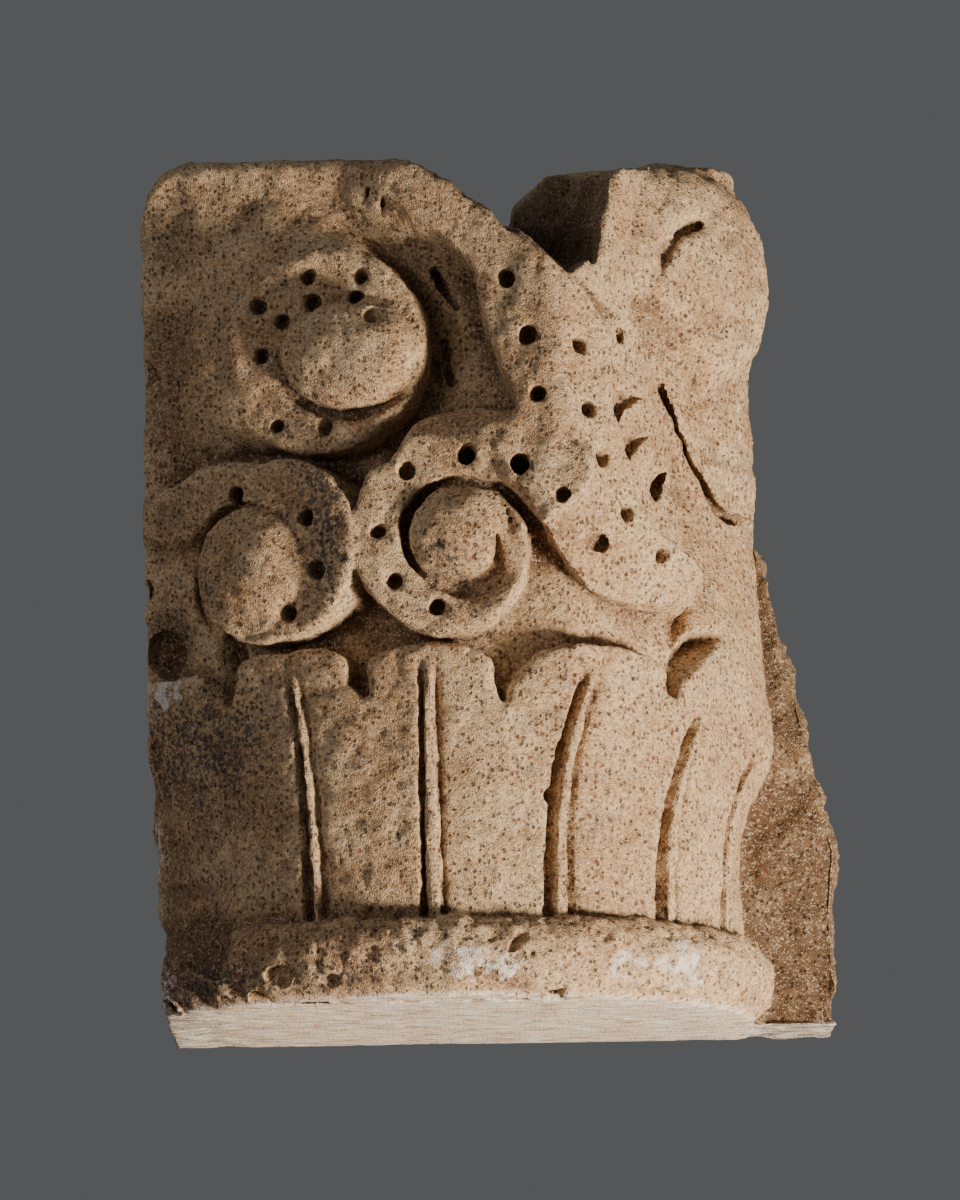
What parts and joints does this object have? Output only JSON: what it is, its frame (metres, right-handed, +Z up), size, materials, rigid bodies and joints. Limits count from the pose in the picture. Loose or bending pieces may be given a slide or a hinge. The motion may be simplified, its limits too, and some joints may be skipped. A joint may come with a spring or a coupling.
{
  "type": "romanesque engaged capital fragment",
  "caption": "Carved limestone half-column capital with a neck ring, upright leaves, drilled volutes and a broken upper corner.",
  "frame": {"origin": "on the axis of the half-column, in the flat bottom bed", "axes": "+X to the right along the wall, +Y into the wall, +Z up"},
  "size_m": [0.2649, 0.1985, 0.33],
  "materials": {
    "stone": "matte"
  },
  "bodies": {
    "root": {"capital": "stone"}
  },
  "joints": []
}
